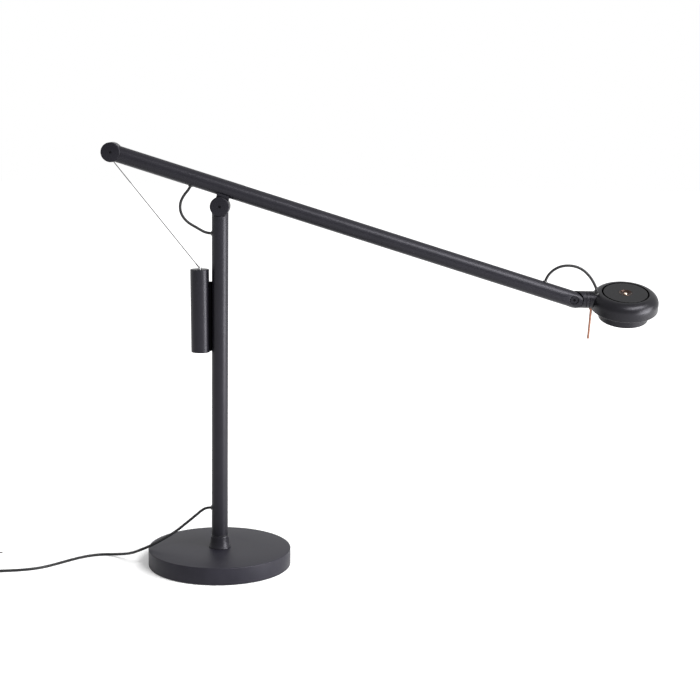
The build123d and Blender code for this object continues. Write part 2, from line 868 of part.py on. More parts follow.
with BuildPart() as led_chip:
    chip_top = board_top - board_thickness
    revolve(rod(head_frame, chip_radius, chip_top - chip_thickness, chip_top), axis=head_axis)
save(led_chip, "led_chip")

# Lower collar: closes the shell and carries the optics
collar_inner = collar_radius - collar_wall
flange_top = head_bottom + 2.0
with BuildPart() as lower_collar:
    revolve(
        outline(
            head_frame,
            (collar_inner, collar_bottom),
            (collar_radius, collar_bottom),
            (collar_radius, head_bottom),
            (shell_inner - fit_gap, head_bottom),
            (shell_inner - fit_gap, flange_top),
            (collar_inner, flange_top),
        ),
        axis=head_axis,
    )
    revolve(
        rod(along_neck, neck_radius + fit_gap, ring_end, neck_stub_end + fit_gap),
        axis=axis_of(along_neck),
        mode=Mode.SUBTRACT,
    )
save(lower_collar, "lower_collar")

diffuser_top = collar_bottom + 1.0 + diffuser_thickness
with BuildPart() as reflector:
    revolve(
        outline(
            head_frame,
            (chip_radius + 1.0, chip_top - 0.1),
            (chip_radius + 2.2, chip_top - 0.1),
            (collar_inner - fit_gap, diffuser_top + 1.4),
            (collar_inner - fit_gap, diffuser_top),
            (collar_inner - 1.2, diffuser_top),
        ),
        axis=head_axis,
    )
save(reflector, "reflector")

with BuildPart() as diffuser:
    revolve(
        rod(head_frame, collar_inner - fit_gap, collar_bottom + 1.0, diffuser_top), axis=head_axis
    )
save(diffuser, "diffuser")

# Lever under the neck stub
lever_tip = neck_radius + lever_length
with BuildPart() as lever:
    revolve(
        outline(
            lever_frame,
            (0, neck_radius - 2.5),
            (lever_radius - 0.2, neck_radius - 2.5),
            (lever_radius - 0.2, neck_radius + 0.4),
            (lever_radius, neck_radius + 0.4),
            (lever_radius, lever_tip - 0.9),
            (lever_radius - 0.9, lever_tip),
            (0, lever_tip),
        ),
        axis=axis_of(lever_frame),
    )
save(lever, "lever")

with BuildPart() as lever_collar:
    revolve(
        ring(lever_frame, lever_radius + fit_gap, 2.7, neck_radius + 0.6, neck_radius + 2.4),
        axis=axis_of(lever_frame),
    )
save(lever_collar, "lever_collar")

# ---------------------------------------------------------------- counterweight
anchor_depth = 6.0
screw_heights = (runner_bottom + runner_screw_inset, runner_top - runner_screw_inset)
with BuildPart() as counterweight:
    revolve(rod(weight_frame, weight_radius, 0, weight_length), axis=axis_of(weight_frame))
    chamfer(counterweight.edges().filter_by(GeomType.CIRCLE), 0.6)
    revolve(
        rod(weight_frame, anchor_radius + 1.2, weight_length - anchor_depth, weight_length + 1),
        axis=axis_of(weight_frame),
        mode=Mode.SUBTRACT,
    )
    for height in screw_heights:
        with Locations(Location((weight_x, 0, height), (0, 90, 0))):
            Cylinder(
                runner_screw_radius + fit_gap,
                weight_radius + 2,
                align=(Align.CENTER, Align.CENTER, Align.MIN),
                mode=Mode.SUBTRACT,
            )
save(counterweight, "counterweight")

# Runner: a shoe inside the post, a web through the slot and a cradle for the weight
with BuildPart() as weight_runner:
    with BuildPart(mode=Mode.PRIVATE) as shoe:
        with BuildSketch(Plane.XY.offset(runner_bottom)):
            Circle(tube_bore - moving_gap)
            with Locations((-shoe_face, 0)):
                Rectangle(
                    2 * tube_radius, shoe_width, align=(Align.MAX, Align.CENTER), mode=Mode.INTERSECT
                )
        extrude(amount=runner_length)
    with BuildPart(mode=Mode.PRIVATE) as cradle:
        with BuildSketch(Plane.XY.offset(runner_bottom)):
            with Locations((-tube_radius - moving_gap, 0)):
                Rectangle(weight_radius / 2, cradle_width, align=(Align.MAX, Align.CENTER))
            with Locations((-shoe_face - tube_wall, 0)):
                Rectangle(tube_bore, slot_width - 2 * moving_gap, align=(Align.MAX, Align.CENTER))
        extrude(amount=runner_length)
        revolve(
            rod(weight_frame, weight_radius + 0.03, -5, weight_length + 5),
            axis=axis_of(weight_frame),
            mode=Mode.SUBTRACT,
        )
    add(shoe.part)
    add(cradle.part)
    for height in screw_heights:
        with Locations(Location((weight_x, 0, height), (0, 90, 0))):
            Cylinder(
                runner_screw_radius + fit_gap,
                -weight_x,
                align=(Align.CENTER, Align.CENTER, Align.MIN),
                mode=Mode.SUBTRACT,
            )
save(weight_runner, "weight_runner")

with BuildPart() as runner_screws:
    for height in screw_heights:
        seat = Plane((weight_x, 0, height), x_dir=(0, 1, 0), z_dir=(1, 0, 0))
        head = -shoe_face - weight_x
        revolve(
            outline(
                seat,
                (0, 4.5),
                (runner_screw_radius, 4.5),
                (runner_screw_radius, head + 0.02),
                (2.3, head + 0.02),
                (2.3, head + 1.5),
                (0, head + 1.5),
            ),
            axis=axis_of(seat),
        )
save(runner_screws, "runner_screws")

# Anchor on the weight's top: a small clevis with a pin for the wire's eye
eye_half = 0.7
with BuildPart() as wire_anchor:
    revolve(
        rod(weight_frame, anchor_radius, weight_length - anchor_depth, weight_length + 2.6),
        axis=axis_of(weight_frame),
    )
    with BuildSketch(Plane((wire_pin.X, 0, wire_pin.Z - 2.6), x_dir=(1, 0, 0), z_dir=(0, 0, 1))):
        Rectangle(3 * anchor_radius, 2 * eye_half + 0.4)
    extrude(amount=10, mode=Mode.SUBTRACT)
    revolve(rod(across(wire_pin), wire_pin_radius, -5, 5), axis=axis_of(across(wire_pin)), mode=Mode.SUBTRACT)
save(wire_anchor, "wire_anchor")

with BuildPart() as anchor_pin:
    revolve(
        rod(across(wire_pin), wire_pin_radius, -anchor_radius, anchor_radius),
        axis=axis_of(across(wire_pin)),
    )
save(anchor_pin, "anchor_pin")

# Wire: straight from its eye to the groove in the tail barrel
tail_centre = on_arm(-tail_distance)
wire_offset = 5.5           # between the wire's line and the tail barrel's axis
wire_short = 4.3            # how far the wire ends before the point nearest that axis
tail_gap = tail_centre - wire_pin
wire_angle = atan2(tail_gap.X, tail_gap.Z) - atan2(
    wire_offset, sqrt(tail_gap.length**2 - wire_offset**2)
)
wire_length = sqrt(tail_gap.length**2 - wire_offset**2) - wire_short
wire_frame = Plane(wire_pin, x_dir=(0, 1, 0), z_dir=(sin(wire_angle), 0, cos(wire_angle)))
with BuildPart() as wire:
    revolve(
        rod(across(wire_pin), wire_eye_radius, -eye_half, eye_half), axis=axis_of(across(wire_pin))
    )
    revolve(rod(wire_frame, wire_radius, wire_eye_radius - 0.6, wire_length), axis=axis_of(wire_frame))
    revolve(rod(wire_frame, wire_radius + 0.25, wire_eye_radius - 0.5, wire_eye_radius + 5), axis=axis_of(wire_frame))
    revolve(
        rod(across(wire_pin), wire_pin_radius + running_gap, -5, 5),
        axis=axis_of(across(wire_pin)),
        mode=Mode.SUBTRACT,
    )
save(wire, "wire")

# ---------------------------------------------------------------- leads
def corner_radii(points):
    """The largest arc that each corner's two runs allow."""
    radii = []
    for before, here, after in zip(points, points[1:], points[2:]):
        into, out = Vector(*here) - Vector(*before), Vector(*after) - Vector(*here)
        half_turn = radians(into.get_angle(out)) / 2
        radii.append(0.45 * min(into.length, out.length) / tan(half_turn))
    return radii


def tube_along(line):
    """A round cord along a line, which starts square to what it meets."""
    with BuildPart() as cord:
        with BuildSketch(Plane(line @ 0, z_dir=line % 0)):
            Circle(cord_radius)
        sweep(path=line)
    return cord


def free_cord(points):
    with BuildLine() as route:
        FilletPolyline(*points, radius=corner_radii(points))
    return route.wires()[0]


# Cable loop from the post's upper hole to the arm's underside
exit_run = 2.8              # how far a lead runs straight out of its hole


def by_pivot(x, rise):
    return (x, 0, pivot_height + rise)


def by_knuckle(ahead, y, rise):
    return (knuckle.X + ahead, y, neck_height + rise)


pivot_loop = [
    by_pivot(-tube_bore - 0.1, -loop_hole_drop),
    by_pivot(-17.0, -loop_hole_drop),
    by_pivot(-27.5, -27.3),
    by_pivot(-40.5, -20.1),
    by_pivot(-48.2, -10.3),
    by_pivot(-49.6, 1.3),
    by_pivot(-45.5, 11.7),
    tuple(on_arm(loop_hole_along, arm_offset - tube_radius - exit_run)),
    tuple(on_arm(loop_hole_along, arm_offset - tube_bore - 0.1)),
]
head_loop = [
    tuple(on_arm(head_hole_along, arm_offset + tube_bore + 0.1)),
    tuple(on_arm(head_hole_along, arm_offset + tube_radius + exit_run + 1.5)),
    by_knuckle(-28.9, -0.2, 33.9),
    by_knuckle(-18.4, -0.4, 40.7),
    by_knuckle(-4.9, -0.9, 42.3),
    by_knuckle(7.6, -2.0, 39.0),
    by_knuckle(17.1, -4.2, 31.2),
    by_knuckle(23.3, -7.0, 22.2),
    tuple(over_stub(neck_radius + exit_run + 1.5)),
    tuple(over_stub(neck_radius - tube_wall + 0.1)),
]
for name, points in (("pivot_cable", pivot_loop), ("head_cable", head_loop)):
    line = free_cord(points)
    save(tube_along(line), name)
    print(name, "radii", [round(r, 1) for r in corner_radii(points)], "length", round(line.length, 1))

# Leads inside the post and the arm
post_lead_line = [
    (-tube_bore + 0.2, 0, cord_hole_height),
    (lead_offset, 0, cord_hole_height),
    (lead_offset, 0, loop_hole_height),
    (-tube_bore + 0.2, 0, loop_hole_height),
]
with BuildLine() as post_lead_route:
    FilletPolyline(*post_lead_line, radius=lead_bend)
save(tube_along(post_lead_route.wires()[0]), "post_lead")

arm_lead_line = [
    tuple(on_arm(loop_hole_along, arm_offset - tube_bore + 0.2)),
    tuple(on_arm(loop_hole_along, arm_offset + lead_offset)),
    tuple(on_arm(head_hole_along, arm_offset - lead_offset)),
    tuple(on_arm(head_hole_along, arm_offset + tube_bore - 0.2)),
]
with BuildLine() as arm_lead_route:
    FilletPolyline(*arm_lead_line, radius=lead_bend)
save(tube_along(arm_lead_route.wires()[0]), "arm_lead")

# Power cord: out of the post, over the base's rim and along the table
power_route = [
    (-tube_radius - 0.1, 0, cord_hole_height),
    (-18.5, 0, cord_hole_height),
    (-29.0, -1.5, 64.5),
    (-42.0, -4.5, 53.8),
    (-56.0, -8.5, 42.9),
    (-71.0, -12.5, 34.4),
    (-86.0, -15.5, 26.6),
    (-98.0, -13.0, 20.8),
    (-108.0, -5.0, 14.6),
    (-118.0, 6.0, 9.1),
    (-129.0, 16.0, 5.2),
    (-140.0, 23.0, 2.6),
    (-151.9, 25.5, cord_radius),
    (-161.9, 22.5, cord_radius),
    (-171.4, 17.0, cord_radius),
    (-180.2, 10.0, cord_radius),
    (-188.7, 1.0, cord_radius),
    (-197.0, -8.6, cord_radius),
    (-205.3, -18.4, cord_radius),
    (-214.0, -27.7, cord_radius),
    (-224.0, -36.2, cord_radius),
    (-236.0, -42.0, cord_radius),
    (-250.0, -46.4, cord_radius),
    (-266.0, -50.4, cord_radius + 0.4),
]
layer_rise = cord_diameter + coil_gap
coil_floor = tie_thickness + cord_radius + 0.1
half_step = coil_pitch / 2
power_route += [(-281.0, -54.48, coil_floor), (*coil_join, coil_floor)]
power_line = free_cord(power_route)
power_cord = tube_along(power_line)
save(power_cord, "power_cord")
print("power_cord radii", [round(r, 1) for r in corner_radii(power_route)])
print(
    "power_cord length", round(power_line.length, 1),
    "volume against section times length",
    round(power_cord.part.volume / (pi * cord_radius**2 * power_line.length), 4),
)

# The coil: half turns that spiral in and out, climbing a layer where the spiral reverses
heading = Vector(*coil_heading).normalized()
coil_x = Vector(-heading.Y, heading.X, 0)
coil_x = coil_x if coil_x.Y < 0 else coil_x * -1
coil_y = heading * -1
coil_centre = Vector(*coil_join) - coil_x * coil_radius


def coil_point(x, y, z):
    return coil_centre + coil_x * x + coil_y * y + Vector(0, 0, z)


coil_points = []
inner_radius = coil_radius - (coil_half_turns - 1) * half_step
spiral_in = [coil_radius - k * half_step for k in range(coil_half_turns)]
half_turns = []
for layer in range(4):
    inward = layer % 2 == 0
    half_turns += [(r, 0) for r in (spiral_in if inward else reversed(spiral_in))]
    if layer < 3:
        half_turns.append((inner_radius - half_step / 2 if inward else coil_radius + half_step / 2, layer_rise))
with BuildLine() as coil_route:
    x, z, side = coil_radius, coil_floor, 1
    for number, (radius, climb) in enumerate(half_turns):
        middle = x - side * radius
        reach = sqrt(radius**2 + (climb / 2) ** 2)
        if number == len(half_turns) - 1:
            quarter = radius * sqrt(0.5)
            ThreePointArc(
                coil_point(x, 0, z),
                coil_point(middle + side * quarter, -side * quarter, z),
                coil_point(middle, -side * radius, z),
            )
            coil_points += [(middle + side * quarter, -side * quarter, z)]
        else:
            ThreePointArc(
                coil_point(x, 0, z),
                coil_point(middle, -side * reach, z + climb / 2),
                coil_point(middle - side * radius, 0, z + climb),
            )
        x, z, side = middle - side * radius, z + climb, -side
coil_line = coil_route.wires()[0]
cord_coil = tube_along(coil_line)
save(cord_coil, "cord_coil")
coil_length = coil_line.length
steps = 1500
samples = [tuple(coil_line @ (k / steps)) for k in range(steps + 1)]
apart = int(2 * pi * inner_radius / 2 / coil_length * steps)
nearest = min(
    dist(here, there)
    for k, here in enumerate(samples)
    for there in samples[k + apart :]
    if abs(here[2] - there[2]) < 2 * layer_rise
)
print("coil length", round(coil_length, 1), "turns", len(half_turns) / 2 - 0.25)
print("coil's least gap to itself", round(nearest - cord_diameter, 2))

# From the coil to the plug
tail_start = coil_line @ 1
tail_heading = coil_line % 1
plug_entry = plug_size[2] / 2
tail_route = [
    tuple(tail_start),
    tuple(tail_start + tail_heading * 9),
    (plug_x - 7.2, -20.0, 11.4),
    (plug_x - 4.4, -9.5, 10.2),
    (plug_x, 0.0, plug_entry),
    (plug_x, plug_rear - plug_relief, plug_entry),
]
tail_line = free_cord(tail_route)
save(tube_along(tail_line), "cord_tail")
print("cord_tail radii", [round(r, 1) for r in corner_radii(tail_route)])
print("cord length in all", round(power_line.length + coil_length + tail_line.length, 1))

with BuildPart() as plug:
    with BuildSketch(Plane.XY):
        with Locations((plug_x, plug_rear)):
            RectangleRounded(plug_size[0], plug_size[1], 4, align=(Align.CENTER, Align.MIN))
    extrude(amount=plug_size[2])
    fillet(plug.edges().group_by(Axis.Z)[-1] + plug.edges().group_by(Axis.Z)[0], 2.0)
    relief = Plane((plug_x, plug_rear + 1, plug_entry), x_dir=(1, 0, 0), z_dir=(0, -1, 0))
    revolve(
        outline(
            relief,
            (0, 0),
            (4.2, 0),
            (2.5, plug_relief + 1),
            (0, plug_relief + 1),
        ),
        axis=axis_of(relief),
    )
save(plug, "plug")

plug_front = plug_rear + plug_size[1]
with BuildPart() as plug_pins:
    for side in (-1, 1):
        pin = Plane((plug_x + side * plug_pin_spacing / 2, plug_front, plug_entry), x_dir=(1, 0, 0), z_dir=(0, 1, 0))
        revolve(
            outline(
                pin,
                (0, 0),
                (plug_pin_radius, 0),
                (plug_pin_radius, plug_pin_length - 1.5),
                (plug_pin_radius - 1.5, plug_pin_length),
                (0, plug_pin_length),
            ),
            axis=axis_of(pin),
        )
save(plug_pins, "plug_pins")

# Tie: a flat band round all the coil's turns
tie_low = inner_radius - half_step - cord_radius - 0.6
tie_high = coil_radius + half_step + cord_radius + 0.6
tie_top = coil_floor + 3 * layer_rise + cord_radius + 0.4
tie_plane = Plane(coil_centre, x_dir=coil_y, z_dir=coil_x)
with BuildPart() as cord_tie:
    with BuildSketch(tie_plane):
        with Locations(((tie_low + tie_high) / 2, (tie_top + tie_thickness) / 2)):
            RectangleRounded(tie_high - tie_low + 2 * tie_thickness, tie_top + tie_thickness, 2.2)
            RectangleRounded(tie_high - tie_low, tie_top - tie_thickness, 1.5, mode=Mode.SUBTRACT)
    extrude(amount=tie_width / 2, both=True)
save(cord_tie, "cord_tie")
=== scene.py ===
import json
import math

import bmesh
import bpy
from mathutils import Matrix, Vector


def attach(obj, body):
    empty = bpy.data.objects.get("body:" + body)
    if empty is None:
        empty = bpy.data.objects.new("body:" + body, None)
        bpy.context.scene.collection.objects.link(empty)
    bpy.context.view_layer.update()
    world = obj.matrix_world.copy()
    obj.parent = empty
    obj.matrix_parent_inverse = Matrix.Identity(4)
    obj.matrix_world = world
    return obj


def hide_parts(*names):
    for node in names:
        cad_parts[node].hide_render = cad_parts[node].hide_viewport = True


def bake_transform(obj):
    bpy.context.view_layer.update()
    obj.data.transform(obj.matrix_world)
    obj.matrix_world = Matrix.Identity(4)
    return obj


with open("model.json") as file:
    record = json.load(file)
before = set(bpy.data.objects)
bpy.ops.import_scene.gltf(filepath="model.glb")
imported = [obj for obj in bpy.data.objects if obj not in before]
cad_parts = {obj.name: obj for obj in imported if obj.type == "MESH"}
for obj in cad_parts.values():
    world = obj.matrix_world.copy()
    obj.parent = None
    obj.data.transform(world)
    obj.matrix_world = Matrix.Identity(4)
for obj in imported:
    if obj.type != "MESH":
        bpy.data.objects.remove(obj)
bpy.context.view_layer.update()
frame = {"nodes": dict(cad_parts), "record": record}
mm = 0.001
print("frame loaded:", len(frame["nodes"]), "nodes")


# Node helpers for materials
def startMaterial(name):
    material = bpy.data.materials.new(name)
    material.use_nodes = True
    tree = material.node_tree
    return material, tree, tree.nodes["Principled BSDF"]


def addNode(tree, kind, values=None, **settings):
    node = tree.nodes.new(kind)
    for key, value in settings.items():
        setattr(node, key, value)
    for key, value in (values or {}).items():
        node.inputs[key].default_value = value
    return node


def objectCoordinates(tree, scale=(1, 1, 1)):
    coords = addNode(tree, "ShaderNodeTexCoord")
    mapping = addNode(tree, "ShaderNodeMapping", {"Scale": scale})
    tree.links.new(coords.outputs["Object"], mapping.inputs["Vector"])
    return mapping.outputs["Vector"]


def noise(tree, vector, scale, detail, rough=0.55):
    node = addNode(tree, "ShaderNodeTexNoise", {"Scale": scale, "Detail": detail, "Roughness": rough})
    tree.links.new(vector, node.inputs["Vector"])
    return node.outputs["Fac"]


def ramp(tree, factor, stops):
    node = addNode(tree, "ShaderNodeValToRGB")
    elements = node.color_ramp.elements
    while len(elements) < len(stops):
        elements.new(0.5)
    for element, (place, colour) in zip(elements, stops):
        element.position = place
        element.color = (*colour, 1)
    tree.links.new(factor, node.inputs["Fac"])
    return node.outputs["Color"]


def span(tree, factor, low, high):
    node = addNode(tree, "ShaderNodeMapRange", {"To Min": low, "To Max": high})
    tree.links.new(factor, node.inputs["Value"])
    return node.outputs["Result"]


def bump(tree, shader, height, distance, strength):
    node = addNode(tree, "ShaderNodeBump", {"Distance": distance, "Strength": strength})
    tree.links.new(height, node.inputs["Height"])
    tree.links.new(node.outputs["Normal"], shader.inputs["Normal"])


# Powder coat: fine pebbled paint with faint clouding in colour and gloss
powder = {"dark": (0.0040, 0.0038, 0.0058), "light": (0.0062, 0.0059, 0.0085), "rough": (0.36, 0.41),
          "grain": 2600.0, "cloud": 38.0, "depth": 0.00001, "gloss": 0.22, "sheenTint": (0.93, 0.91, 1.0, 1.0)}


def powderCoat(name, tint=1.0, rough=None, grain=None, gloss=None):
    material, tree, shader = startMaterial(name)
    vector = objectCoordinates(tree)
    cloud = noise(tree, vector, powder["cloud"], 4.0)
    fine = noise(tree, vector, grain or powder["grain"], 2.0)
    dark = tuple(c * tint for c in powder["dark"])
    light = tuple(c * tint for c in powder["light"])
    tree.links.new(ramp(tree, cloud, [(0.3, dark), (0.7, light)]), shader.inputs["Base Color"])
    low, high = rough or powder["rough"]
    tree.links.new(span(tree, cloud, low, high), shader.inputs["Roughness"])
    bump(tree, shader, fine, powder["depth"], 0.5)
    shader.inputs["Specular IOR Level"].default_value = gloss or powder["gloss"]
    shader.inputs["Specular Tint"].default_value = powder["sheenTint"]
    return material


# Metals, with fine lines along one direction
def brushedMetal(name, dark, light, stretch, rough=(0.28, 0.42), metallic=1.0, gloss=0.5):
    material, tree, shader = startMaterial(name)
    vector = objectCoordinates(tree, stretch)
    lines = noise(tree, vector, 900.0, 3.0, 0.6)
    tree.links.new(ramp(tree, lines, [(0.3, dark), (0.7, light)]), shader.inputs["Base Color"])
    tree.links.new(span(tree, lines, *rough), shader.inputs["Roughness"])
    bump(tree, shader, lines, 0.00002, 0.35)
    shader.inputs["Metallic"].default_value = metallic
    shader.inputs["Specular IOR Level"].default_value = gloss
    return material


def plainPlastic(name, dark, light, rough=(0.35, 0.5), grain=1500.0, depth=0.00004, gloss=0.5):
    material, tree, shader = startMaterial(name)
    vector = objectCoordinates(tree)
    cloud = noise(tree, vector, 60.0, 3.0)
    tree.links.new(ramp(tree, cloud, [(0.35, dark), (0.65, light)]), shader.inputs["Base Color"])
    tree.links.new(span(tree, cloud, *rough), shader.inputs["Roughness"])
    bump(tree, shader, noise(tree, vector, grain, 2.0), depth, 0.4)
    shader.inputs["Specular IOR Level"].default_value = gloss
    return material


black = powderCoat("powderBlack")
blackBase = powderCoat("powderBlackBase", 1.9, (0.46, 0.53), gloss=0.22)
blackHead = powderCoat("powderBlackHead", 0.4, (0.32, 0.37), 3200.0, 0.21)
blackDull = powderCoat("powderBlackDull", 0.9, (0.46, 0.56), gloss=0.16)
# Near-black coat for the weight runner and the plate groove: painted shade where those gaps fall in shadow
gapShadeBlack = powderCoat("gapShadeBlack", 0.15, (0.7, 0.8), gloss=0.02)
plateFinish = brushedMetal("plateFinish", (0.008, 0.008, 0.009), (0.014, 0.014, 0.015), (1, 22, 1), (0.42, 0.52),
                           0.2, 0.10)
# Dish: a dark copper tone, darkened further as painted shade for the dark surroundings it mirrors
dishCopperShade = brushedMetal("dishCopperShade", (0.022, 0.014, 0.012), (0.050, 0.029, 0.023), (1, 1, 1), (0.22, 0.32), 0.9)
# Pin: copper made pale as a painted highlight, the bright glint at the button's centre
pinCopperGlint = brushedMetal("pinCopperGlint", (0.66, 0.50, 0.40), (0.80, 0.64, 0.54), (1, 1, 1), (0.16, 0.24))
copper = brushedMetal("copperSatin", (0.155, 0.074, 0.050), (0.225, 0.115, 0.081), (1, 1, 8), (0.34, 0.46))
steel = brushedMetal("plainSteel", (0.36, 0.36, 0.37), (0.52, 0.52, 0.53), (1, 1, 6), (0.25, 0.4))
wireFinish = brushedMetal("wireFinish", (0.010, 0.010, 0.011), (0.022, 0.022, 0.024), (1, 1, 3), (0.4, 0.5),
                          0.2, 0.12)
sheath = plainPlastic("cordSheath", (0.0060, 0.0060, 0.0068), (0.0095, 0.0095, 0.0105), (0.32, 0.42), 2200.0,
                      0.00002, 0.22)
glossyRubber = plainPlastic("glossyRubber", (0.006, 0.006, 0.006), (0.010, 0.010, 0.010), (0.14, 0.22), 1800.0,
                            0.000008)
rubber = plainPlastic("softRubber", (0.008, 0.008, 0.008), (0.013, 0.013, 0.013), (0.45, 0.6), 1800.0, gloss=0.3)
moulded = plainPlastic("mouldedBlack", (0.009, 0.009, 0.010), (0.014, 0.014, 0.015), (0.42, 0.55), 900.0, 0.00008, 0.35)
white = plainPlastic("mouldedWhite", (0.80, 0.80, 0.79), (0.86, 0.86, 0.85), (0.4, 0.5))
frosted = plainPlastic("frostedCover", (0.84, 0.84, 0.82), (0.90, 0.90, 0.88), (0.5, 0.6), 1200.0)
phosphor = plainPlastic("phosphor", (0.80, 0.62, 0.12), (0.88, 0.72, 0.20), (0.25, 0.35))
print("materials ready")


# Pieces
def finishMesh(bm, name, material, body, stands=(), smooth=35.0):
    mesh = bpy.data.meshes.new(name)
    bm.to_mesh(mesh)
    bm.free()
    mesh.shade_smooth()
    mesh.set_sharp_from_angle(angle=math.radians(smooth))
    piece = bpy.data.objects.new(name, mesh)
    bpy.context.scene.collection.objects.link(piece)
    mesh.materials.clear()
    mesh.materials.append(material)
    if body:
        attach(piece, body)
    if stands:
        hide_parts(*stands)
    return piece


def bevelEdges(piece, width):
    modifier = piece.modifiers.new("edges", "BEVEL")
    modifier.width = width
    modifier.segments = 2
    modifier.limit_method = "ANGLE"
    modifier.angle_limit = math.radians(32.0)
    modifier.harden_normals = True


bodyOf = {n: body for body, nodes in frame["record"]["behaviour"]["bodies"].items() for n in nodes}


# A CAD node's own shape, merged and flattened, with its edges rounded by width in metres
def dressNode(node, material, width):
    bm = bmesh.new()
    bm.from_mesh(frame["nodes"][node].data)
    bmesh.ops.remove_doubles(bm, verts=bm.verts, dist=3e-6)
    bmesh.ops.dissolve_limit(bm, angle_limit=math.radians(0.4), verts=bm.verts, edges=bm.edges)
    piece = finishMesh(bm, node + "_shown", material, bodyOf[node], [node])
    if width:
        bevelEdges(piece, width)


finishes = {
    "swivel_bush": (moulded, 0),
    "post_tube": (black, 0.0002), "post_head": (black, 0.0003), "pivot_screw": (blackDull, 0.0001),
    "pivot_nut": (blackDull, 0.0001), "arm_tube": (black, 0.0002), "arm_bracket": (black, 0.0003),
    "tail_barrel": (black, 0.0002), "tail_screw": (blackDull, 0.0001), "tail_nut": (blackDull, 0.0001),
    "arm_end": (black, 0.0003), "neck_knuckle": (black, 0.0003), "knuckle_screw": (blackDull, 0.0002),
    "swivel_ring": (black, 0.0001), "head_shell": (blackHead, 0.00008), "top_plate": (plateFinish, 0.0001),
    # the weight runner wears the near-black coat as painted shade for the shadowed slot beside the post
    "lower_collar": (blackHead, 0.0003), "counterweight": (black, 0.0002), "weight_runner": (gapShadeBlack, 0.0002),
    "lever_collar": (copper, 0.0001), "wire_anchor": (steel, 0.0001), "cord_tie": (rubber, 0.0001),
    "base_pad": (rubber, 0), "diffuser": (frosted, 0), "wire": (wireFinish, 0),
}
for node, (material, width) in finishes.items():
    dressNode(node, material, width)

hidden = {
    "swivel_spindle": steel, "spindle_washer": steel, "spindle_nut": steel, "pivot_washers": moulded,
    "post_lead": sheath, "arm_lead": sheath, "bracket_clamp": steel, "bracket_screws": steel,
    "runner_screws": steel, "anchor_pin": steel, "neck_retainer": steel, "plate_seal": moulded,
    "led_board": white, "led_chip": phosphor, "button_switch": moulded, "reflector": white,
}
for node, material in hidden.items():
    frame["nodes"][node].data.materials.clear()
    frame["nodes"][node].data.materials.append(material)
print("nodes dressed:", len(finishes), "kept:", len(hidden))


# Turned pieces: a profile of (radius, height) in mm spun about its axis, then set in place
def turned(profile, place, closed=False, steps=96):
    bm = bmesh.new()
    verts = [bm.verts.new((radius * mm, 0, height * mm)) for radius, height in profile]
    edges = [bm.edges.new(pair) for pair in zip(verts, verts[1:] + verts[:1] if closed else verts[1:])]
    bmesh.ops.spin(bm, geom=verts + edges, cent=(0, 0, 0), axis=(0, 0, 1), angle=2 * math.pi, steps=steps,
                   use_merge=True, use_duplicate=False)
    bmesh.ops.remove_doubles(bm, verts=bm.verts, dist=1e-6)
    bmesh.ops.recalc_face_normals(bm, faces=bm.faces)
    bmesh.ops.transform(bm, matrix=place, verts=bm.verts)
    return bm


def axisFrame(at, direction):
    turn = Vector(direction).to_track_quat("Z", "Y").to_matrix().to_4x4()
    return Matrix.Translation(Vector(at) * mm) @ turn


def quarter(radius, height, size, start, segments=5):
    turns = [math.radians(start + 90 * k / segments) for k in range(segments + 1)]
    return [(radius + size * math.cos(t), height + size * math.sin(t)) for t in turns]


slope = {"arm": math.radians(16.8), "hole": math.radians(33.9), "head": math.radians(18.9)}

# Base disc with rounded rims and a hollow below, and the flared collar at the post's foot
base = {"radius": 90.0, "top": 22.2, "bottom": 0.5, "topRound": 1.2, "lowRound": 1.0, "socket": 10.0,
        "socketFloor": 14.2, "bore": 7.2, "hollow": 20.0, "hollowTop": 8.5, "midRing": 45.0}
topRim = quarter(base["radius"] - base["topRound"], base["top"] - base["topRound"], base["topRound"], 0)
lowRim = quarter(base["radius"] - base["lowRound"], base["bottom"] + base["lowRound"], base["lowRound"], 270)
baseProfile = ([(base["bore"], base["socketFloor"]), (base["socket"], base["socketFloor"]),
                (base["socket"], base["top"]), (base["midRing"], base["top"])]
               + topRim[::-1] + lowRim[::-1]
               + [(base["hollow"], base["bottom"]), (base["hollow"], base["hollowTop"]),
                  (base["bore"], base["hollowTop"])])
finishMesh(turned(baseProfile, Matrix.Identity(4), True, 192), "baseDisc", blackBase, "base",
           ["base_disc"])
collarProfile = [(7.6, 14.2), (9.95, 14.2), (9.95, 22.25), (13.6, 22.25), (13.8, 22.5), (13.75, 22.9), (13.1, 24.2),
                 (12.5, 25.8), (12.0, 27.8), (11.6, 30.2), (11.3, 32.8), (11.1, 35.4), (11.0, 37.4), (10.85, 37.8),
                 (10.5, 38.0), (7.6, 38.0)]
finishMesh(turned(collarProfile, Matrix.Identity(4), True, 96), "footCollar", black, bodyOf["foot_collar"],
           ["foot_collar"])

headFrame = Matrix.Translation(Vector((500.7, 0, 346.3)) * mm) @ Matrix.Rotation(slope["head"], 4, "X")

# Touch button: a turned dish with fine steps and a raised pin; the dish copper carries painted shade and the pin's pale
# copper a painted highlight
button = {"rim": [(8.4, 7.4), (8.4, 10.15), (8.15, 10.42), (7.8, 10.45)],
          "steps": [(7.2, 10.05), (6.35, 9.5), (6.3, 9.36), (5.45, 8.98), (5.4, 8.84), (4.55, 8.57), (4.5, 8.43),
                    (3.65, 8.26), (3.6, 8.12), (3.0, 8.06), (0, 8.06)],
          "pin": [(0, 10.20), (0.9, 10.12), (1.6, 9.9), (2.1, 9.55), (2.35, 9.1), (2.4, 7.9), (0, 7.9)]}
finishMesh(turned([(0, 7.4)] + button["rim"] + button["steps"], headFrame), "buttonDish", dishCopperShade,
           "button", ["button"], 25.0)
finishMesh(turned(button["pin"], headFrame, steps=48), "buttonPin", pinCopperGlint, "button",
           ["button_core"])
